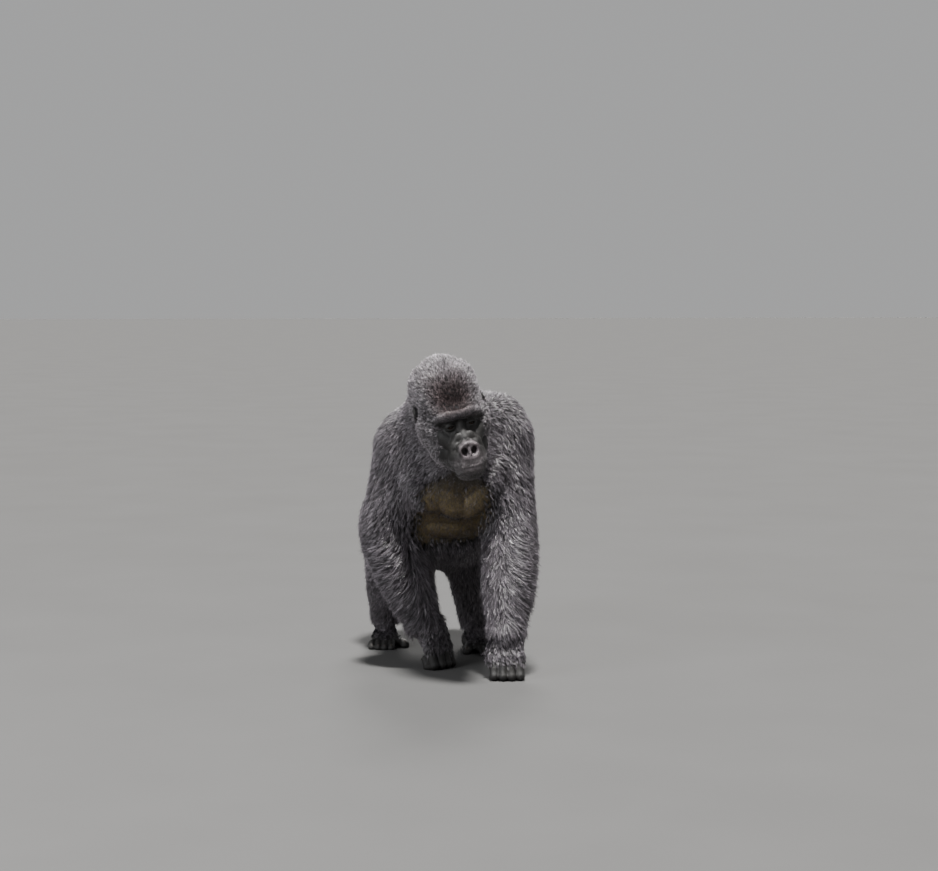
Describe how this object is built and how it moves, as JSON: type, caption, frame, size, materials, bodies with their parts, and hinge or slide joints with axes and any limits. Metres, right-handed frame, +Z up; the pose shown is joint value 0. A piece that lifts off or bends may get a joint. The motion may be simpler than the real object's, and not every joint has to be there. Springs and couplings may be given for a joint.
{
  "type": "gorilla",
  "caption": "Adult gorilla standing on its knuckles and soles, head turned forward, modelled life size as a still display animal.",
  "frame": {"origin": "on the floor under the middle of the animal's box", "axes": "-Y the way the animal faces, +X its left side, +Z up"},
  "size_m": [0.6322, 1.2448, 1.1532],
  "materials": {
    "coat": "dense hair, matt with a cool grey sheen",
    "bare_skin": "wrinkled bare skin, slightly glossy",
    "eye": "polished, wet looking"
  },
  "bodies": {
    "root": {"head": "coat", "neck": "coat", "chest": "coat", "belly": "coat", "ear_left": "bare_skin", "ear_right": "bare_skin", "eye_left": "eye", "eye_right": "eye", "upper_arm_left": "coat", "forearm_left": "coat", "hand_left": "bare_skin", "thigh_left": "coat", "shank_left": "coat", "foot_left": "bare_skin", "upper_arm_right": "coat", "forearm_right": "coat", "hand_right": "bare_skin", "thigh_right": "coat", "shank_right": "coat", "foot_right": "bare_skin"}
  },
  "joints": []
}
